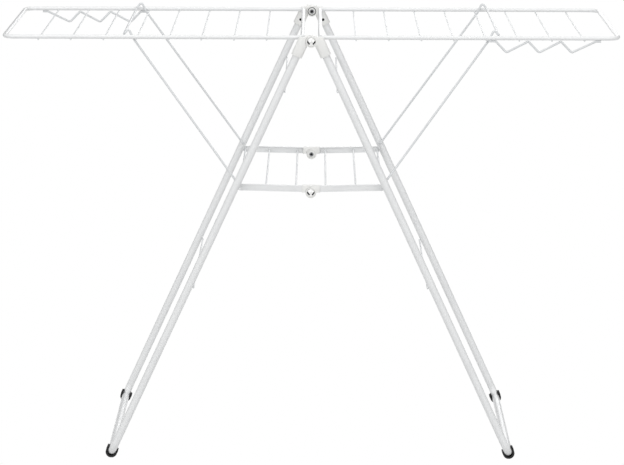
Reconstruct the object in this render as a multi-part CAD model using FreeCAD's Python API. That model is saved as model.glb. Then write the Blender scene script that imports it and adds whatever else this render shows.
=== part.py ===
import FreeCAD, Part
import math
import os
from FreeCAD import Vector as V

# Folding winged clothes airer, open for use. Origin on the floor under the top hinge.
# X runs along the wings, Y along the depth, Z up. Side "a" is the +X side; side "b" is the
# same set of parts turned half a turn about the vertical axis.

# Overall sizes
OVERALL_WIDTH = 1509.0
WING_DEPTH = 500.0            # rail axis to rail axis
LEG_DEPTH = 541.0             # leg axis to leg axis
HUB_Z = 1061.0                # top hinge axis above the floor
WING_PIVOT_X = 21.5
WING_PIVOT_RISE = 6.5         # wing plane above the top hinge axis
LEG_ANGLE = 24.7              # from vertical, degrees
LEG_OFFSET = 17.6             # leg axis to top hinge axis

# Tube and wire
LEG_OD = 19.0
LEG_WALL = 1.2
LEG_BEND = 28.0
RAIL_OD = 10.0
RAIL_WALL = 0.9
RAIL_BEND_OUTER = 26.0
RAIL_BEND_INNER = 14.0
RUNG_D = 3.4
LEG_RUNG_D = 4.0
ROD_D = 5.0
STRUT_D = 5.4
HANGER_D = 5.4

# Clearances (radial or face to face)
RUN_FIT = 0.06
BODY_GAP = 0.3
LAP_GAP = 0.6

# Top hinge sleeves
SLEEVE_W = 27.6
SLEEVE_END = 47.0             # lower end below the hinge, along the leg
SLEEVE_RISE = 10.0            # level top of the sleeve above the hinge axis
TUBE_TOP = 12.0
HUB_R = 14.0
PIN_D = 6.0
PIN_SEAT = 11.0
WING_PIN_D = 5.0
SCREW_DROP = 32.0
SCREW_D = 3.5
SCREW_HEAD_D = 6.8

# Feet
CAP_WALL = 5.0
CAP_FLAT = 0.3
CAP_LENGTH = 26.0
CAP_ARM = 9.0

# Wings
RUNG_COUNT = 8
RUNG_FIRST = 109.0
RUNG_PITCH = 79.5
RUNG_OVER = 3.0

# Shelf
SHELF_PIVOT_Z = 695.0
SHELF_HUB_DROP = 13.0
SHELF_HUB_R = 13.5
BAR_H = 16.0
BAR_T = 6.0
BAR_WALL = 1.2
BAR_RISE = 9.0                # bar centre line above the middle hinge axis
BAR_END = 15.0
KNUCKLE_LEN = 22.0
KNUCKLE_LAP_T = 6.7
SHELF_RUNG_X = (36.5, 111.0)
STUB_GAP = 0.3

# Struts
STRUT_PIVOT_Z = 708.0
STRUT_Y_TOP = 240.5
STRUT_Y_FOOT = 256.5

A = math.radians(LEG_ANGLE)
N_DIR = V(math.cos(A), 0, math.sin(A))
D_DIR = V(math.sin(A), 0, -math.cos(A))
HUB = V(0, 0, HUB_Z)
LEG_Y = LEG_DEPTH / 2
RAIL_Y = WING_DEPTH / 2
RAIL_Z = HUB_Z + WING_PIVOT_RISE
FOOT_Z = LEG_OD / 2 + CAP_WALL - CAP_FLAT
BAR_Y = LEG_Y - LEG_OD / 2 - 12.0
Y_AXIS = V(0, 1, 0)
Z_AXIS = V(0, 0, 1)
OUT = "parts"


def on_leg(offset, drop):
    """Point in the hinge plane: offset across the leg from the hinge axis, drop along the leg."""
    return HUB + N_DIR * offset + D_DIR * drop


def drop_at(offset, z):
    """Distance along the leg to height z for a line at the given offset."""
    return (HUB_Z + offset * math.sin(A) - z) / math.cos(A)


def at_y(point, y):
    return V(point.x, y, point.z)


def half_turn(shape):
    turned = shape.copy()
    turned.rotate(V(0, 0, 0), Z_AXIS, 180)
    return turned


def rod_y(point, y0, y1, radius):
    low, high = min(y0, y1), max(y0, y1)
    return Part.makeCylinder(radius, high - low, at_y(point, low), Y_AXIS)


def rounded_wire(points, radii):
    """Polyline with each inner corner replaced by an arc of its own radius."""
    edges = []
    start = points[0]
    for i in range(1, len(points) - 1):
        corner = points[i]
        back = (points[i - 1] - corner).normalize()
        ahead = (points[i + 1] - corner).normalize()
        half = back.getAngle(ahead) / 2
        reach = radii[i - 1] / math.tan(half)
        first = corner + back * reach
        last = corner + ahead * reach
        centre_dir = (back + ahead).normalize()
        centre = corner + centre_dir * (radii[i - 1] / math.sin(half))
        middle = centre - centre_dir * radii[i - 1]
        if (first - start).Length > 1e-6:
            edges.append(Part.LineSegment(start, first).toShape())
        edges.append(Part.Arc(first, middle, last).toShape())
        start = last
    if (points[-1] - start).Length > 1e-6:
        edges.append(Part.LineSegment(start, points[-1]).toShape())
    return Part.Wire(edges)


def bent_rod(points, radii, diameter):
    path = rounded_wire(points, radii)
    tangent = (points[1] - points[0]).normalize()
    ring = Part.Wire(Part.makeCircle(diameter / 2, points[0], tangent))
    return path.makePipeShell([ring], True, False)


def leg_tube():
    top = on_leg(LEG_OFFSET, TUBE_TOP)
    foot = on_leg(LEG_OFFSET, drop_at(LEG_OFFSET, FOOT_Z))
    points = [at_y(top, -LEG_Y), at_y(foot, -LEG_Y), at_y(foot, LEG_Y), at_y(top, LEG_Y)]
    bends = [LEG_BEND, LEG_BEND]
    tube = bent_rod(points, bends, LEG_OD).cut(bent_rod(points, bends, LEG_OD - 2 * LEG_WALL))
    strut = strut_pivot()
    screw = on_leg(LEG_OFFSET, SCREW_DROP)
    for side in (-1, 1):
        inner = side * (LEG_Y - LEG_OD / 2)
        tube = tube.cut(rod_y(strut, inner - side, inner + side * 4, STRUT_D / 2 + RUN_FIT))
        tube = tube.cut(rod_y(screw, inner - side, inner + side * 4, SCREW_D / 2))
    return tube


def leg_rung(z):
    offset = LEG_OFFSET - LEG_OD / 2 - LEG_RUNG_D / 2
    point = on_leg(offset, drop_at(offset, z))
    return rod_y(point, -LEG_Y - 1.5, LEG_Y + 1.5, LEG_RUNG_D / 2)


def shelf_pivot():
    offset = LEG_OFFSET - LEG_OD / 2 - ROD_D / 2
    return on_leg(offset, drop_at(offset, SHELF_PIVOT_Z))


def strut_pivot():
    return on_leg(LEG_OFFSET, drop_at(LEG_OFFSET, STRUT_PIVOT_Z))


def wing_pivot():
    return V(WING_PIVOT_X, 0, RAIL_Z)


def lap_range(side, outer):
    """Y limits of one half of the lapped hinge disc, side -1 near or +1 far."""
    half = SLEEVE_W / 2
    if outer:
        return side * (LEG_Y + LAP_GAP / 2), side * (LEG_Y + half)
    return side * (LEG_Y - half), side * (LEG_Y - LAP_GAP / 2)


def sleeve(side, outer):
    """Moulding over the leg top, with its half of the hinge disc and the wing pin bore."""
    half = SLEEVE_W / 2
    dome_drop = 4.8
    body = Part.makeBox(SLEEVE_W, SLEEVE_W, SLEEVE_END - dome_drop,
                        V(LEG_OFFSET - half, -half, -SLEEVE_END))
    upright = [e for e in body.Edges if abs(e.tangentAt(e.FirstParameter).z) > 0.9]
    body = body.makeFillet(9.0, upright)
    dome = Part.makeCylinder(half, SLEEVE_W, V(LEG_OFFSET, -half, -dome_drop), Y_AXIS)
    round_top = Part.makeCylinder(half + 3, 40, V(LEG_OFFSET, 0, -20), Z_AXIS)
    body = body.fuse(dome.common(round_top))
    body.rotate(V(0, 0, 0), Y_AXIS, -LEG_ANGLE)
    body.translate(V(0, side * LEG_Y, HUB_Z))
    lid = Part.makeBox(120, 60, 60, V(-60, side * LEG_Y - 30, HUB_Z + SLEEVE_RISE))
    body = body.cut(lid)
    y0, y1 = lap_range(side, outer)
    web = Part.makeBox(LEG_OFFSET, abs(y1 - y0), 23.0, V(0, min(y0, y1), -14.0))
    web.rotate(V(0, 0, 0), Y_AXIS, -LEG_ANGLE)
    web.translate(HUB)
    o0, o1 = lap_range(side, not outer)
    grow = LAP_GAP / 2
    room = rod_y(HUB, min(o0, o1) - grow, max(o0, o1) + grow, HUB_R + LAP_GAP)
    shape = body.cut(room).fuse(web).fuse(rod_y(HUB, y0, y1, HUB_R))
    hole = PIN_D / 2 if outer else PIN_D / 2 + RUN_FIT
    shape = shape.cut(rod_y(HUB, side * (LEG_Y - half - 1), side * (LEG_Y + half + 1), hole))
    inner = side * (LEG_Y - half)
    top = at_y(on_leg(LEG_OFFSET, TUBE_TOP), side * LEG_Y)
    shape = shape.cut(Part.makeCylinder(LEG_OD / 2, SLEEVE_END, top, D_DIR))
    shape = shape.cut(rod_y(wing_pivot(), inner - side, inner + side * (PIN_SEAT + 0.5),
                            WING_PIN_D / 2 + RUN_FIT))
    screw = on_leg(LEG_OFFSET, SCREW_DROP)
    shape = shape.cut(rod_y(screw, inner - side, inner + side * 2.4, SCREW_HEAD_D / 2 + 0.2))
    shape = shape.cut(rod_y(screw, inner - side, inner + side * 6, SCREW_D / 2))
    return shape.removeSplitter()


def sleeve_screws():
    screw = on_leg(LEG_OFFSET, SCREW_DROP)
    shapes = []
    for side in (-1, 1):
        inner = side * (LEG_Y - SLEEVE_W / 2)
        head = rod_y(screw, inner + side * 0.6, inner + side * 2.4, SCREW_HEAD_D / 2)
        shank = rod_y(screw, inner + side * 2.4, inner + side * 7.4, SCREW_D / 2)
        slot = Part.makeBox(SCREW_HEAD_D, 1.6, 1.0, V(screw.x - SCREW_HEAD_D / 2,
                            inner + side * 0.6 - 0.8, screw.z - 0.5))
        shapes.append(head.fuse(shank).cut(slot))
    return Part.makeCompound(shapes)


def hinge_rivet(point, y_face, y_inner, side, radius):
    """Headed pin fixed in the outer lap, clear of the inner lap."""
    head = rod_y(point, y_inner - side * BODY_GAP, y_inner - side * (BODY_GAP + 2.4), radius + 2.6)
    shank = rod_y(point, y_face, y_inner - side * BODY_GAP, radius)
    return shank.fuse(head).removeSplitter()


def dome_cap(point, y_face, side, radius, height):
    """Low spherical cap sitting on the outer face of a hinge disc."""
    ball_r = (radius * radius + height * height) / (2 * height)
    ball = Part.makeSphere(ball_r, at_y(point, y_face - side * (ball_r - height)))
    slab = rod_y(point, y_face, y_face + side * (height + 1), radius + 1)
    return ball.common(slab)


def foot_caps():
    """Rubber saddles clipped up round the bottom corners of the bent tube."""
    foot = on_leg(LEG_OFFSET, drop_at(LEG_OFFSET, FOOT_Z))
    outer = LEG_OD / 2 + CAP_WALL
    shapes = []
    for side in (-1, 1):
        y_far = side * (LEG_Y - 9.0)
        y_near = y_far - side * CAP_LENGTH
        low = min(y_far, y_near)
        saddle = Part.makeCylinder(outer, CAP_LENGTH, V(0, low, 0), Y_AXIS)
        saddle = saddle.fuse(Part.makeBox(2 * outer, CAP_LENGTH, CAP_ARM, V(-outer, low, 0)))
        inside = Part.makeCylinder(LEG_OD / 2, CAP_LENGTH, V(0, low, 0), Y_AXIS)
        inside = inside.fuse(Part.makeBox(LEG_OD, CAP_LENGTH, CAP_ARM + outer, V(-LEG_OD / 2, low, 0)))
        saddle = saddle.cut(inside)
        saddle.rotate(V(0, 0, 0), Y_AXIS, -LEG_ANGLE)
        saddle.translate(V(foot.x, 0, foot.z))
        floor = Part.makeBox(100, CAP_LENGTH + 2, 20, V(foot.x - 50, low - 1, -20))
        shapes.append(saddle.cut(floor).removeSplitter())
    return Part.makeCompound(shapes)


def wing_pins():
    shapes = []
    for side in (-1, 1):
        inner = LEG_Y - SLEEVE_W / 2
        shapes.append(rod_y(wing_pivot(), side * (RAIL_Y - RAIL_BEND_INNER - 8),
                            side * (inner + PIN_SEAT), WING_PIN_D / 2))
    return Part.makeCompound(shapes)


def wing_frame():
    x0 = WING_PIVOT_X
    x1 = OVERALL_WIDTH / 2 - RAIL_OD / 2
    corners = [V(x0, 0, RAIL_Z), V(x0, -RAIL_Y, RAIL_Z), V(x1, -RAIL_Y, RAIL_Z),
               V(x1, RAIL_Y, RAIL_Z), V(x0, RAIL_Y, RAIL_Z), V(x0, 0, RAIL_Z)]
    bends = [RAIL_BEND_INNER, RAIL_BEND_OUTER, RAIL_BEND_OUTER, RAIL_BEND_INNER]
    bore = bent_rod(corners, bends, RAIL_OD - 2 * RAIL_WALL)
    return bent_rod(corners, bends, RAIL_OD).cut(bore).cut(wing_pins())


def rung_x(i):
    return RUNG_FIRST + i * RUNG_PITCH


def wing_rungs():
    z = RAIL_Z - RAIL_OD / 2 - RUNG_D / 2
    reach = RAIL_Y + RUNG_OVER
    return Part.makeCompound([rod_y(V(rung_x(i), 0, z), -reach, reach, RUNG_D / 2)
                              for i in range(RUNG_COUNT)])


def hanger_zigzag():
    """Bent wire under the near rail, three dips that stop coat hangers sliding."""
    top = RAIL_Z - RAIL_OD / 2 - HANGER_D / 2
    dip = top - 27.5
    start = rung_x(4) + 4.0
    plan = [(start, top), (start + 18.0, top)]
    bends = [4.0]
    for i in range(3):
        low_x = rung_x(4) + 48.5 + i * RUNG_PITCH
        plan.append((low_x, dip))
        bends.append(6.0)
        if i < 2:
            plan.append((low_x + 53.0, top - 0.2))
            bends.append(4.0)
    plan.append((low_x + 58.0, top))
    bends.append(6.0)
    plan.append((low_x + 71.0, top))
    return bent_rod([V(x, -RAIL_Y, z) for x, z in plan], bends, HANGER_D)


def strut():
    """One bent wire: pin, arm, peak over the wing, crossbar, and back down the far side."""
    foot = strut_pivot()
    rung = V(rung_x(4), 0, RAIL_Z - RAIL_OD / 2 - RUNG_D / 2)
    knee = V(rung.x + 7.6, 0, rung.z + 2.0)
    peak = V(rung.x + 18.5, 0, RAIL_Z + 19.0)
    bar = V(rung.x + 30.0, 0, RAIL_Z + 5.5)
    tip = LEG_Y - LEG_OD / 2 + LEG_WALL + 5.0
    near = [at_y(foot, -tip), at_y(foot, -STRUT_Y_FOOT), at_y(knee, -STRUT_Y_TOP),
            at_y(peak, -STRUT_Y_TOP), at_y(bar, -STRUT_Y_TOP)]
    far = [V(p.x, -p.y, p.z) for p in reversed(near)]
    half = [3.2, 12.0, 4.5, 5.0]
    return bent_rod(near + far, half + half[::-1], STRUT_D)


def shelf_hub():
    return V(0, 0, SHELF_PIVOT_Z - SHELF_HUB_DROP)


def bar_profile(height, x_start, y_low, thick, rounded):
    """Upright slab along the shelf half from x_start to the leg pivot."""
    outer = shelf_pivot()
    inner = shelf_hub() + V(0, 0, BAR_RISE)
    run = outer.x - inner.x
    slope = (outer.z - inner.z) / run
    end_x = outer.x if rounded else x_start + KNUCKLE_LEN
    lift = V(0, 0, height / 2)
    p0 = V(x_start, y_low, inner.z + slope * x_start)
    p1 = V(end_x, y_low, inner.z + slope * end_x)
    face = Part.Face(Part.makePolygon([p0 - lift, p1 - lift, p1 + lift, p0 + lift, p0 - lift]))
    slab = face.extrude(V(0, thick, 0))
    if rounded:
        slab = slab.fuse(Part.makeCylinder(height / 2, thick, at_y(outer, y_low), Y_AXIS))
    return slab.removeSplitter()


def shelf_bars(pivot_fit):
    shapes = []
    for side in (-1, 1):
        low = side * BAR_Y - BAR_T / 2
        bar = bar_profile(BAR_H, BAR_END, low, BAR_T, True)
        hollow_low = low if side > 0 else low + BAR_WALL
        hollow = bar_profile(BAR_H - 2 * BAR_WALL, BAR_END - 1, hollow_low, BAR_T - BAR_WALL, True)
        bar = bar.cut(hollow)
        bar = bar.cut(rod_y(shelf_pivot(), low - 1, low + BAR_T + 1, ROD_D / 2 + pivot_fit))
        shapes.append(bar)
    return Part.makeCompound(shapes)


def shelf_rungs():
    outer = shelf_pivot()
    inner = shelf_hub() + V(0, 0, BAR_RISE)
    slope = (outer.z - inner.z) / outer.x
    reach = BAR_Y + BAR_T / 2 - BAR_WALL
    return Part.makeCompound([rod_y(V(x, 0, inner.z + slope * x), -reach, reach, RUNG_D / 2 + 0.5)
                              for x in SHELF_RUNG_X])


def knuckle_range(side, outer):
    if outer:
        return side * (BAR_Y + LAP_GAP / 2), side * (BAR_Y + LAP_GAP / 2 + KNUCKLE_LAP_T)
    return side * (BAR_Y - LAP_GAP / 2 - KNUCKLE_LAP_T), side * (BAR_Y - LAP_GAP / 2)


def shelf_knuckle(side, outer):
    """Moulded end over the bar with half of the middle hinge and its stop face."""
    thick = BAR_T + 5.0
    block = bar_profile(BAR_H + 2.4, BODY_GAP, side * BAR_Y - thick / 2, thick, False)
    mid = side * BAR_Y
    away = side * (thick if not outer else -thick)
    room = rod_y(shelf_hub(), mid, mid + away, SHELF_HUB_R + LAP_GAP)
    y0, y1 = knuckle_range(side, outer)
    shape = block.cut(room).fuse(rod_y(shelf_hub(), y0, y1, SHELF_HUB_R))
    bar = bar_profile(BAR_H, BAR_END, side * BAR_Y - BAR_T / 2, BAR_T, True)
    hole = PIN_D / 2 if outer else PIN_D / 2 + RUN_FIT
    shape = shape.cut(bar).cut(rod_y(shelf_hub(), mid - thick - 5, mid + thick + 5, hole))
    return shape.removeSplitter()


def save(shape, name):
    shape.exportStep(os.path.join(OUT, name + ".step"))
    print(name, "valid", shape.isValid(), "solids", len(shape.Solids), round(shape.Volume))


def main():
    os.makedirs("parts", exist_ok=True)
    half = SLEEVE_W / 2
    both = {
        "leg_tube": leg_tube(),
        "leg_rung_upper": leg_rung(936.0),
        "leg_rung_lower": leg_rung(444.0),
        "sleeve_outer": sleeve(-1, True),
        "sleeve_inner": sleeve(1, False),
        "sleeve_screws": sleeve_screws(),
        "foot_caps": foot_caps(),
        "hub_rivet": hinge_rivet(HUB, -LEG_Y - half, -LEG_Y + half, -1, PIN_D / 2),
        "hub_cap": dome_cap(HUB, -LEG_Y - half, -1, 10.0, 4.0),
        "wing_frame": wing_frame(),
        "wing_rungs": wing_rungs(),
        "hanger_zigzag": hanger_zigzag(),
        "wing_pins": wing_pins(),
        "strut": strut(),
        "shelf_rungs": shelf_rungs(),
    }
    for name, shape in both.items():
        save(shape, name + "_a")
        save(half_turn(shape), name + "_b")
    outer_face = -(BAR_Y + LAP_GAP / 2 + KNUCKLE_LAP_T)
    inner_face = -(BAR_Y - LAP_GAP / 2 - KNUCKLE_LAP_T)
    knuckles = Part.makeCompound([shelf_knuckle(-1, True), shelf_knuckle(1, False)])
    rivet = hinge_rivet(shelf_hub(), outer_face, inner_face, -1, PIN_D / 2)
    cap = dome_cap(shelf_hub(), outer_face, -1, 9.5, 4.0)
    for name, shape in (("shelf_knuckles", knuckles), ("shelf_rivet", rivet), ("shelf_cap", cap)):
        save(shape, name + "_a")
        save(half_turn(shape), name + "_b")
    save(shelf_bars(RUN_FIT), "shelf_bars_a")
    save(half_turn(shelf_bars(0.0)), "shelf_bars_b")
    save(rod_y(shelf_pivot(), -LEG_Y - 1.5, LEG_Y + 1.5, ROD_D / 2), "shelf_rod_a")
    bar_face = BAR_Y + BAR_T / 2
    save(half_turn(rod_y(shelf_pivot(), -bar_face, bar_face, ROD_D / 2)), "shelf_rod_b")
    stubs = [rod_y(shelf_pivot(), side * (bar_face + STUB_GAP), side * (LEG_Y + 1.5), ROD_D / 2)
             for side in (-1, 1)]
    save(half_turn(Part.makeCompound(stubs)), "shelf_stubs_b")


main()
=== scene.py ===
import bpy
import math
from mathutils import Euler, Matrix, Vector


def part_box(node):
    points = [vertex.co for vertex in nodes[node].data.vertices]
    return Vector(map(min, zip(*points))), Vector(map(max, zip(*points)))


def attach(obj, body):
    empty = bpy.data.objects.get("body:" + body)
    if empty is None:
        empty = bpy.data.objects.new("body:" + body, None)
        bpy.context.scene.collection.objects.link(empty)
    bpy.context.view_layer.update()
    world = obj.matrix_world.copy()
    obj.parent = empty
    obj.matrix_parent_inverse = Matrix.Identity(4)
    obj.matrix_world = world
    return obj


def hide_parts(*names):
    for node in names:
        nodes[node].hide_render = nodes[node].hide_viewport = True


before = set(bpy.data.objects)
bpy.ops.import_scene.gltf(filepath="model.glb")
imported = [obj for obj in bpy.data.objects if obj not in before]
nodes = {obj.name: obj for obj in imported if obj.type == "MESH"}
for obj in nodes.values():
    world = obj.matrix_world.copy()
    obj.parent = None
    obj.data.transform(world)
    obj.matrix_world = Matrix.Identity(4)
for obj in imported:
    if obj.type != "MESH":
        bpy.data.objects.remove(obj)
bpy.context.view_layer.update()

# ---------------------------------------------------------------------------------------
# Legs and wing frames: drawn steel tube bent to closed and three-sided loops, degreased and
# powder coated, with the welded shelf stubs. The coat is a cool half-gloss white with faint
# orange peel.


def linear(code):
    """Hex sRGB colour as linear RGBA."""
    parts = [int(code[i:i + 2], 16) / 255 for i in (1, 3, 5)]
    return tuple(c / 12.92 if c <= 0.04045 else ((c + 0.055) / 1.055) ** 2.4 for c in parts) + (1,)


def add(tree, kind, links=(), **values):
    """Add a shader node with its settings and links."""
    node = tree.nodes.new("ShaderNode" + kind)
    for name, value in values.items():
        node.inputs[name.replace("_", " ")].default_value = value
    for name, socket in links:
        tree.links.new(socket, node.inputs[name])
    return node


def finish(name, dark, light, rough_low, rough_high, grain_mm, depth_mm, metallic=0.0, coat=0.0):
    """Surface with a slow change of tint, uneven gloss and a fine grain, sizes in millimetres."""
    mat = bpy.data.materials.new(name)
    mat.use_nodes = True
    tree = mat.node_tree
    bsdf = tree.nodes["Principled BSDF"]
    place = add(tree, "TexCoord").outputs["Object"]
    broad = add(tree, "TexNoise", [("Vector", place)], Scale=14.0, Detail=3.0)
    tint = add(tree, "Mix")
    tint.data_type = "RGBA"
    factor, colour_a, colour_b, colour_out = 0, 6, 7, 2
    tint.inputs[colour_a].default_value = linear(dark)
    tint.inputs[colour_b].default_value = linear(light)
    tree.links.new(broad.outputs["Fac"], tint.inputs[factor])
    tree.links.new(tint.outputs[colour_out], bsdf.inputs["Base Color"])
    patch = add(tree, "TexNoise", [("Vector", place)], Scale=60.0, Detail=2.0)
    rough = add(tree, "MapRange", [("Value", patch.outputs["Fac"])])
    rough.inputs["To Min"].default_value = rough_low
    rough.inputs["To Max"].default_value = rough_high
    tree.links.new(rough.outputs["Result"], bsdf.inputs["Roughness"])
    grain = add(tree, "TexNoise", [("Vector", place)], Scale=1000.0 / grain_mm, Detail=2.0)
    bump = add(tree, "Bump", [("Height", grain.outputs["Fac"])], Strength=0.35)
    bump.inputs["Distance"].default_value = depth_mm / 1000.0
    tree.links.new(bump.outputs["Normal"], bsdf.inputs["Normal"])
    bsdf.inputs["Metallic"].default_value = metallic
    bsdf.inputs["Coat Weight"].default_value = coat
    bsdf.inputs["Coat Roughness"].default_value = 0.12
    return mat


def dress(labels, mat):
    """Give the drawn steel shapes of both sides their finish, with smooth bends."""
    for label in labels:
        for name in (label + "_a", label + "_b"):
            if name not in nodes:
                continue
            steel_shape = nodes[name]
            steel_shape.data.materials.clear()
            steel_shape.data.materials.append(mat)
            bpy.ops.object.select_all(action="DESELECT")
            steel_shape.select_set(True)
            bpy.context.view_layer.objects.active = steel_shape
            bpy.ops.object.shade_smooth_by_angle(angle=math.radians(38))


powder_coat = finish("white_paint", "#E9EAEB", "#F2F3F3", 0.30, 0.44, 1.4, 0.03, coat=0.2)
dress(["leg_tube", "wing_frame", "shelf_stubs"], powder_coat)

# ---------------------------------------------------------------------------------------
# Rungs, hanger zigzags and struts: cold drawn wire, straightened, bent and spot welded, then
# coated in the same bath. The wire's white is set slightly greyer than the tube's, as painted
# shade for the thin wire.
wire_coat = finish("white_wire", "#DADCDE", "#E6E8E9", 0.32, 0.46, 1.1, 0.02, coat=0.15)
dress(["leg_rung_upper", "leg_rung_lower", "wing_rungs", "hanger_zigzag", "strut", "shelf_rungs",
       "shelf_rod"], wire_coat)

# ---------------------------------------------------------------------------------------
# Small steel parts: zinc plated wing pins, headed from rod, dull grey with a fine turned
# grain, and blackened cross-slot screws that hold the sleeves on the legs.
zinc = finish("zinc_plate", "#8A8C90", "#A4A6A9", 0.28, 0.42, 0.3, 0.01, metallic=1.0)
black_steel = finish("blackened_steel", "#17181A", "#242527", 0.38, 0.52, 0.3, 0.01, metallic=0.7)
dress(["wing_pins"], zinc)
dress(["sleeve_screws"], black_steel)

# ---------------------------------------------------------------------------------------
# Hub sleeves: four injection mouldings in white polypropylene, pushed over the leg tops.
# Each has a square socket with round corners, a level top and half of the lapped disc.
plastic = finish("white_plastic", "#ECECEA", "#F4F4F2", 0.42, 0.54, 0.5, 0.02)
# Near-black finish used as painted shade on the walls of ring grooves, screw seats, cap windows
# and rivet bores.
painted_shade = finish("painted_shade_dark", "#0A0A0B", "#131314", 0.60, 0.78, 0.6, 0.01)
lean = math.radians(24.7)
leg_offset, leg_y, hub_z = 0.0176, 0.2705, 1.061
lap_gap = 0.0003
past = 0.02  # how far a cutter runs past the piece


def only(obj):
    """Make this piece the only selected one."""
    bpy.ops.object.select_all(action="DESELECT")
    obj.select_set(True)
    bpy.context.view_layer.objects.active = obj


def drum(radius, y_from, y_to, x, z, sides=64):
    """Round boss or drill along the depth."""
    bpy.ops.mesh.primitive_cylinder_add(vertices=sides, radius=radius, depth=abs(y_to - y_from),
                                        location=(x, (y_from + y_to) / 2, z),
                                        rotation=(math.pi / 2, 0, 0))
    return bpy.context.active_object


def slab(width, depth, height, centre, turn=0.0):
    """Square block, turned about the depth."""
    bpy.ops.mesh.primitive_cube_add(size=1, location=centre, rotation=(0, turn, 0))
    block = bpy.context.active_object
    block.scale = (width, depth, height)
    only(block)
    bpy.ops.object.transform_apply(location=False, rotation=False, scale=True)
    return block


def combine(base, tools, operation):
    """Join, drill or trim a piece with others, which are used up."""
    for tool in tools:
        mod = base.modifiers.new("combine", "BOOLEAN")
        mod.operation = operation
        mod.solver = "EXACT"
        mod.material_mode = "TRANSFER"
        mod.object = tool
        only(base)
        bpy.ops.object.modifier_apply(modifier=mod.name)
        bpy.data.objects.remove(tool)
    return base


def soften(obj, width, segments=3, angle=32):
    """Moulding or deburring radius on every sharp edge."""
    mod = obj.modifiers.new("round", "BEVEL")
    mod.width = width
    mod.segments = segments
    mod.limit_method = "ANGLE"
    mod.angle_limit = math.radians(angle)
    mod.use_clamp_overlap = True
    only(obj)
    bpy.ops.object.modifier_apply(modifier=mod.name)
    return obj


def round_edges(obj, direction, width, segments):
    """Round only the edges that run along a direction, in edit mode."""
    only(obj)
    bpy.ops.object.mode_set(mode="EDIT")
    bpy.ops.mesh.select_mode(type="EDGE")
    bpy.ops.mesh.select_all(action="DESELECT")
    bpy.ops.object.mode_set(mode="OBJECT")
    for edge in obj.data.edges:
        start, end = (obj.data.vertices[i].co for i in edge.vertices)
        edge.select = abs((end - start).normalized().dot(Vector(direction))) > 0.99
    bpy.ops.object.mode_set(mode="EDIT")
    bpy.ops.mesh.bevel(offset=width, segments=segments, profile=0.5)
    bpy.ops.object.mode_set(mode="OBJECT")
    return obj


def paint_all(obj, mat):
    """Give the whole piece one finish."""
    obj.data.materials.clear()
    obj.data.materials.append(mat)
    return obj


def lean_on(obj, spot):
    """Tilt a piece modelled upright to the slope of the leg and carry it to its spot."""
    only(obj)
    bpy.ops.object.transform_apply(location=True, rotation=True, scale=True)
    obj.data.transform(Matrix.Translation(spot) @ Matrix.Rotation(-lean, 4, "Y"))


def settle(obj, name):
    """Put the origin at the floor centre, smooth the round faces and name the piece."""
    only(obj)
    bpy.ops.object.transform_apply(location=True, rotation=True, scale=True)
    bpy.ops.object.shade_smooth_by_angle(angle=math.radians(34))
    obj.name = name
    return obj


def join_as(pieces, name):
    """Make one piece of several that are one part on the object."""
    bpy.ops.object.select_all(action="DESELECT")
    for piece in pieces:
        piece.select_set(True)
    bpy.context.view_layer.objects.active = pieces[0]
    bpy.ops.object.join()
    pieces[0].name = name
    return pieces[0]


def pair(obj, name, node, body):
    """Stand for the CAD node on side a, and make its half-turned twin on side b."""
    twin = obj.copy()
    twin.data = obj.data.copy()
    bpy.context.collection.objects.link(twin)
    twin.data.transform(Matrix.Rotation(math.pi, 4, "Z"))
    twin.name = name
    for piece, half in ((obj, "_a"), (twin, "_b")):
        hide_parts(node + half)
        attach(piece, body + half)


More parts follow.
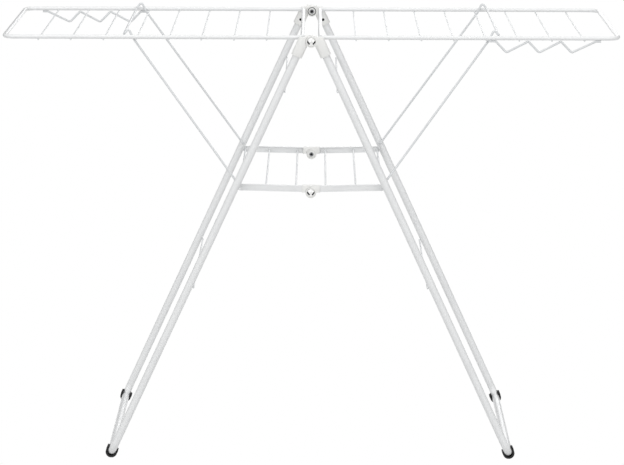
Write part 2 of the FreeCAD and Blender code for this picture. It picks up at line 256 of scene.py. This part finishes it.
sleeve_w, sleeve_h, sleeve_z, corner_r = 0.0272, 0.068, -0.0252, 0.0088
shoulder_r, shoulder_z, straight_h = 0.0137, -0.0048, 0.042
sleeve_rise, lid_w, lid_h = 0.010, 0.12, 0.06
disc_r, disc_reach, disc_room = 0.0139, 0.0136, 0.0007
web_d, web_h, web_z = 0.0133, 0.0215, -0.0025
ring_r, ring_hole_r, ring_depth = 0.0110, 0.0092, 0.0024
bore_r, bore_h, bore_z = 0.00955, 0.036, -0.030
seat_r, seat_face, seat_floor, seat_z = 0.0036, 0.0160, 0.0113, -0.032
for side, outer, label in ((-1, True, "sleeve_outer"), (1, False, "sleeve_inner")):
    away = side if outer else -side
    lap_face = lap_gap * away
    disc_face = disc_reach * away
    socket = slab(sleeve_w, sleeve_w, sleeve_h, (leg_offset, 0, sleeve_z))
    round_edges(socket, (0, 0, 1), corner_r, 6)
    straight = slab(2 * shoulder_r, 2 * past, straight_h,
                    (leg_offset, 0, shoulder_z - straight_h / 2))
    shoulder = drum(shoulder_r, -past, past, leg_offset, shoulder_z)
    socket = combine(socket, [combine(shoulder, [straight], "UNION")], "INTERSECT")
    lid_up = sleeve_rise + lid_h / 2
    lid = slab(lid_w, lid_h, lid_h, (lid_up * math.sin(lean), 0, lid_up * math.cos(lean)), lean)
    room = drum(disc_r + disc_room, -lap_face, -past * away, 0, 0)
    socket = combine(socket, [lid, room], "DIFFERENCE")
    web = slab(leg_offset, web_d, web_h, (leg_offset / 2, (lap_face + disc_face) / 2, web_z))
    socket = combine(socket, [web, drum(disc_r, lap_face, disc_face, 0, 0)], "UNION")
    ring = combine(drum(ring_r, disc_face * 1.2, disc_face - ring_depth * away, 0, 0),
                   [drum(ring_hole_r, -past, past, 0, 0)], "DIFFERENCE")
    bpy.ops.mesh.primitive_cylinder_add(vertices=64, radius=bore_r, depth=bore_h,
                                        location=(leg_offset, 0, bore_z))
    tube_bore = bpy.context.active_object
    screw_seat = drum(seat_r, -side * seat_face, -side * seat_floor, leg_offset, seat_z, 40)
    socket = combine(socket, [tube_bore], "DIFFERENCE")
    paint_all(socket, plastic)
    # On the inner sleeves the ring groove is cut with the near-black finish, a painted shade ring;
    # the outer ones keep plastic. The screw seat walls are painted near black as shade too.
    paint_all(ring, plastic if outer else painted_shade)
    paint_all(screw_seat, painted_shade)
    socket = combine(socket, [ring, screw_seat], "DIFFERENCE")
    soften(socket, 0.0011, 3, 40)
    lean_on(socket, (0, side * leg_y, hub_z))
    settle(socket, label + "_moulding_a")
    pair(socket, label + "_moulding_b", label, "leg_frame")

# ---------------------------------------------------------------------------------------
# Hinge caps: shallow domes pressed from steel strip and satin nickel plated, clipped over
# the outer rivet ends. Two slanted windows leave the rivet head showing in a V; their cut walls
# are painted near black as shade.
nickel = finish("satin_nickel", "#EDEDEC", "#F5F5F4", 0.34, 0.42, 0.8, 0.005, metallic=1.0)
dome_rise, ahead = 0.004, 0.002
window_w, window_d, window_h, window_turn = 0.0038, 0.0066, 0.0096, math.radians(40)
window_in, window_drop = 0.0006, 0.0013
for label, radius, window_x, frame_of in (("hub_cap", 0.010, 0.0071, "leg_frame"),
                                          ("shelf_cap", 0.0095, 0.0062, "shelf")):
    low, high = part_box(label + "_a")
    cap_z = (low.z + high.z) / 2
    ball = (radius ** 2 + dome_rise ** 2) / (2 * dome_rise)
    bpy.ops.mesh.primitive_uv_sphere_add(segments=96, ring_count=64, radius=ball,
                                         location=(0, high.y + ball - dome_rise, cap_z))
    dome = bpy.context.active_object
    dome = combine(dome, [drum(radius, high.y, low.y - ahead, 0, cap_z, 96)], "INTERSECT")
    paint_all(dome, nickel)
    windows = []
    for way in (-1, 1):
        window_at = (way * window_x, low.y + window_in, cap_z - window_drop)
        window = slab(window_w, window_d, window_h, window_at, way * window_turn)
        # The window walls take the near-black finish: painted shade.
        windows.append(paint_all(window, painted_shade))
    dome = combine(dome, windows, "DIFFERENCE")
    soften(dome, 0.0003, 2, 40)
    settle(dome, label + "_dome_a")
    pair(dome, label + "_dome_b", label, frame_of)

# ---------------------------------------------------------------------------------------
# Hinge rivets: hollow zinc plated steel rivets, set from the outside. The inner head is rolled
# over, so it shows as a ring round an open bore, whose walls and floor are painted near black as
# shade.
shank_r, head_r, head_d, hollow_r, hollow_d = 0.003, 0.0056, 0.0024, 0.0034, 0.0021
for label, frame_of in (("hub_rivet", "leg_frame"), ("shelf_rivet", "shelf")):
    low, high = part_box(label + "_a")
    rivet_z = (low.z + high.z) / 2
    rivet = drum(shank_r, low.y, high.y, 0, rivet_z, 48)
    rivet = combine(rivet, [drum(head_r, high.y - head_d, high.y, 0, rivet_z)], "UNION")
    paint_all(rivet, zinc)
    # The bore is cut with the near-black finish, so its walls carry painted shade.
    bore = paint_all(drum(hollow_r, high.y - hollow_d, high.y + ahead, 0, rivet_z, 48), painted_shade)
    rivet = combine(rivet, [bore], "DIFFERENCE")
    soften(rivet, 0.0006, 4, 40)
    settle(rivet, label + "_set_a")
    pair(rivet, label + "_set_b", label, frame_of)

# ---------------------------------------------------------------------------------------
# Foot caps: black rubber saddles pushed up round the bottom corners of the bent tube. They
# are open at the top between two side arms, and grip the floor with three moulded grooves.
rubber = finish("black_rubber", "#0E0E0F", "#191A1B", 0.62, 0.82, 0.6, 0.05)
saddle_r, saddle_len, arm_len, seat_r = 0.0145, 0.0258, 0.009, 0.0095
groove_pitch, groove_w, groove_floor_r, groove_cut_r = 0.006, 0.0018, 0.0139, 0.017
foot_x, foot_y, foot_z = 0.50084, 0.2485, 0.0142
saddles = []
for side in (-1, 1):
    cap = drum(saddle_r, -saddle_len / 2, saddle_len / 2, 0, 0, 72)
    cap = combine(cap, [slab(2 * saddle_r, saddle_len, arm_len, (0, 0, arm_len / 2))], "UNION")
    cap = combine(cap, [drum(seat_r, -past, past, 0, 0, 72),
                        slab(2 * seat_r, 2 * past, 2 * past, (0, 0, past))], "DIFFERENCE")
    for groove in (-groove_pitch, 0.0, groove_pitch):
        ring = combine(drum(groove_cut_r, groove - groove_w / 2, groove + groove_w / 2, 0, 0, 72),
                       [drum(groove_floor_r, -past, past, 0, 0, 72)], "DIFFERENCE")
        cap = combine(cap, [ring], "DIFFERENCE")
    lean_on(cap, (foot_x, side * foot_y, foot_z))
    below_floor = slab(0.1, 2 * past, past, (foot_x, side * foot_y, -past / 2))
    cap = combine(cap, [below_floor], "DIFFERENCE")
    soften(cap, 0.0009, 3, 40)
    saddles.append(settle(paint_all(cap, rubber), "foot_saddle"))
feet = join_as(saddles, "foot_saddles_a")
pair(feet, "foot_saddles_b", "foot_caps", "leg_frame")

# ---------------------------------------------------------------------------------------
# Shelf bars: cold rolled steel channels with the flanges turned inwards, two shallow
# stiffening grooves along the face and a round outer end about the leg pivot, powder coated.
bar_coat = finish("bar_paint", "#E7E8E9", "#F0F1F1", 0.34, 0.48, 1.2, 0.02, coat=0.15)
pivot_x, pivot_z, shelf_hub_z = 0.1745, 0.695, 0.682
bar_y, bar_rise, bar_end, bar_d, bar_h = 0.249, 0.009, 0.015, 0.0059, 0.0159
core_d, core_h, core_in, core_back = 0.0048, 0.0134, 0.0012, 0.001
groove_share, groove_d, groove_h, groove_rise = 0.8, 0.0012, 0.0010, 0.0040
groove_x, groove_y, hole_r = 0.004, 0.003, 0.00252
slope = math.atan2(pivot_z - (shelf_hub_z + bar_rise), pivot_x)
run = pivot_x - bar_end
mid_x = (pivot_x + bar_end) / 2
mid_z = pivot_z - math.tan(slope) * run / 2
channels = []
for side in (-1, 1):
    y = side * bar_y
    bar = slab(run / math.cos(slope), bar_d, bar_h, (mid_x, y, mid_z), -slope)
    bar_tip = drum(bar_h / 2, y - bar_d / 2, y + bar_d / 2, pivot_x, pivot_z)
    bar = soften(combine(bar, [bar_tip], "UNION"), 0.0011, 3, 40)
    core_y = y - side * core_in
    core = slab(run / math.cos(slope), core_d, core_h, (mid_x - core_back, core_y, mid_z), -slope)
    core_tip = drum(core_h / 2, core_y - side * core_d / 2, core_y + side * core_d / 2,
                    pivot_x, pivot_z)
    core = combine(core, [core_tip], "UNION")
    grooves = []
    for rise in (groove_rise, -groove_rise):
        groove_at = (mid_x + groove_x, y + side * groove_y, mid_z + rise)
        grooves.append(slab(run * groove_share, groove_d, groove_h, groove_at, -slope))
    pivot_hole = drum(hole_r, y - past, y + past, pivot_x, pivot_z, 40)
    bar = combine(bar, [core, *grooves, pivot_hole], "DIFFERENCE")
    channels.append(settle(paint_all(bar, bar_coat), "channel"))
bars = join_as(channels, "shelf_channels_a")
pair(bars, "shelf_channels_b", "shelf_bars", "shelf")

# ---------------------------------------------------------------------------------------
# Shelf knuckles: white polypropylene sockets pressed over the bar ends, each with half of
# the middle hinge and a square stop face that meets its neighbour when the shelf is flat.
knuckle_len, knuckle_d, knuckle_h, knuckle_gap = 0.0214, 0.0108, 0.0182, 0.0004
lug_r, lug_reach, lug_room_d, stop_box = 0.0134, 0.0069, 0.012, 0.06
groove_r, groove_from, groove_to = 0.0112, 0.0054, 0.009
room_len, room_x, room_fit = 0.05, 0.0401, 0.0002
ends = []
for side, outer in ((-1, True), (1, False)):
    y = side * bar_y
    away = side if outer else -side
    block_x = knuckle_len / 2 + knuckle_gap
    block_z = shelf_hub_z + bar_rise + math.tan(slope) * block_x
    block = slab(knuckle_len, knuckle_d, knuckle_h, (block_x, y, block_z), -slope)
    past_stop = slab(stop_box, stop_box, stop_box, (lap_gap - stop_box / 2, y, shelf_hub_z))
    lug_room = drum(lug_r + disc_room, y, y - lug_room_d * away, 0, shelf_hub_z)
    block = combine(block, [past_stop, lug_room], "DIFFERENCE")
    lug = drum(lug_r, y + lap_gap * away, y + lug_reach * away, 0, shelf_hub_z)
    block = combine(block, [lug], "UNION")
    ring = combine(drum(groove_r, y + groove_from * away, y + groove_to * away, 0, shelf_hub_z),
                   [drum(ring_hole_r, y - past, y + past, 0, shelf_hub_z)], "DIFFERENCE")
    room_z = shelf_hub_z + bar_rise + math.tan(slope) * room_x
    bar_room = slab(room_len, bar_d + room_fit, bar_h + room_fit, (room_x, y, room_z), -slope)
    block = combine(block, [ring, bar_room], "DIFFERENCE")
    soften(block, 0.0007, 3, 40)
    ends.append(settle(paint_all(block, plastic), "knuckle"))
knuckles = join_as(ends, "shelf_knuckle_mouldings_a")
pair(knuckles, "shelf_knuckle_mouldings_b", "shelf_knuckles", "shelf")

# ---------------------------------------------------------------------------------------
# Weld beads: small smooth fillets where every wing rung crosses the long rails, made by
# resistance welding and closed over by the powder coat.
weld_first, weld_pitch, weld_count = 0.109, 0.0795, 8
weld_y, weld_z, weld_r = 0.2497, 1.0624, 0.0022
for half, turned in (("a", 0.0), ("b", math.pi)):
    beads = []
    for i in range(weld_count):
        for side in (-1, 1):
            spot = (weld_first + weld_pitch * i, side * weld_y, weld_z)
            bpy.ops.mesh.primitive_uv_sphere_add(segments=16, ring_count=10, radius=weld_r,
                                                 location=spot)
            bead = bpy.context.active_object
            bead.scale = (1.3, 1.5, 0.62)
            beads.append(bead)
    welds = join_as(beads, "wing_welds_" + half)
    settle(paint_all(welds, powder_coat), "wing_welds_" + half)
    welds.data.transform(Matrix.Rotation(turned, 4, "Z"))
    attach(welds, "wing_" + half)

# ---------------------------------------------------------------------------------------
# Floor: a seamless white sweep. It shows to the eye as plain white, and throws a little less
# light than that on the underside of the airer.
bpy.ops.mesh.primitive_plane_add(size=14, location=(0, 3.0, -0.0005))
floor = bpy.context.active_object
floor_mat = bpy.data.materials.new("floor")
floor_mat.use_nodes = True
tree = floor_mat.node_tree
tree.nodes["Principled BSDF"].inputs["Base Color"].default_value = linear("#CFCFCF")
tree.nodes["Principled BSDF"].inputs["Roughness"].default_value = 0.9
glow = add(tree, "Emission", Color=(1, 1, 1, 1), Strength=1.0)
path = add(tree, "LightPath")
seen = add(tree, "Math", [(0, path.outputs["Is Camera Ray"]), (1, path.outputs["Is Glossy Ray"])])
seen.operation = "MAXIMUM"
mixed = add(tree, "MixShader", [("Fac", seen.outputs["Value"])])
tree.links.new(tree.nodes["Principled BSDF"].outputs["BSDF"], mixed.inputs[1])
tree.links.new(glow.outputs["Emission"], mixed.inputs[2])
tree.links.new(mixed.outputs["Shader"], tree.nodes["Material Output"].inputs["Surface"])
floor.data.materials.append(floor_mat)

# ---------------------------------------------------------------------------------------
# Studio: a white room, brightest in front and above and darker behind and below, so that the
# round white tube keeps a soft grey edge against the white sweep. Four large soft boxes.
world = bpy.data.worlds.new("studio")
world.use_nodes = True
tree = world.node_tree
toward = add(tree, "VectorMath", [("Vector", add(tree, "TexCoord").outputs["Generated"])])
toward.operation = "DOT_PRODUCT"
toward.inputs[1].default_value = (0.0, -0.55, 0.835)
share = add(tree, "MapRange", [("Value", toward.outputs["Value"])], From_Min=-1.0)
ramp = add(tree, "ValToRGB", [("Fac", share.outputs["Result"])])
ramp.color_ramp.elements[0].position = 0.40
ramp.color_ramp.elements[0].color = (0.05, 0.05, 0.053, 1)
ramp.color_ramp.elements[1].position = 0.82
ramp.color_ramp.elements[1].color = (1, 1, 1, 1)
sky = tree.nodes["Background"]
tree.links.new(ramp.outputs["Color"], sky.inputs["Color"])
sky.inputs["Strength"].default_value = 0.92
backdrop = add(tree, "Background", Color=(1, 1, 1, 1), Strength=1.0)
mixed = add(tree, "MixShader", [("Fac", add(tree, "LightPath").outputs["Is Camera Ray"])])
tree.links.new(sky.outputs["Background"], mixed.inputs[1])
tree.links.new(backdrop.outputs["Background"], mixed.inputs[2])
tree.links.new(mixed.outputs["Shader"], tree.nodes["World Output"].inputs["Surface"])
bpy.context.scene.world = world
middle = Vector((0, 0, 0.6))
for label, spot, width, power in (("key", (-2.0, -3.6, 2.8), 2.2, 25),
                                  ("fill", (2.6, -3.2, 2.0), 2.0, 13),
                                  ("top", (0, -0.3, 3.8), 2.5, 16),
                                  ("rear", (0.6, 4.2, 1.6), 2.2, 30)):
    lamp = bpy.data.lights.new(label, "AREA")
    lamp.size = width
    lamp.energy = power
    soft_box = bpy.data.objects.new(label, lamp)
    soft_box.location = spot
    aim = middle - Vector(spot)
    soft_box.rotation_euler = aim.to_track_quat("-Z", "Y").to_euler()
    bpy.context.collection.objects.link(soft_box)

# ---------------------------------------------------------------------------------------
# Camera: a long lens well back and a little above the wings, level and nearly square on.
camera_data = bpy.data.cameras.new("camera")
camera_data.sensor_width = 36.0
camera_data.lens = 149.9
camera_data.clip_end = 60
camera = bpy.data.objects.new("camera", camera_data)
camera.location = (0.01445, -6.52463, 2.00367)
down, yaw, roll = 0.22301, 0.0018, 0.00323
camera.rotation_euler = (Euler((math.pi / 2 - down, 0, yaw)).to_matrix()
                         @ Matrix.Rotation(roll, 3, "Z")).to_euler()
bpy.context.collection.objects.link(camera)
bpy.context.scene.camera = camera
bpy.context.scene.view_settings.view_transform = "Standard"
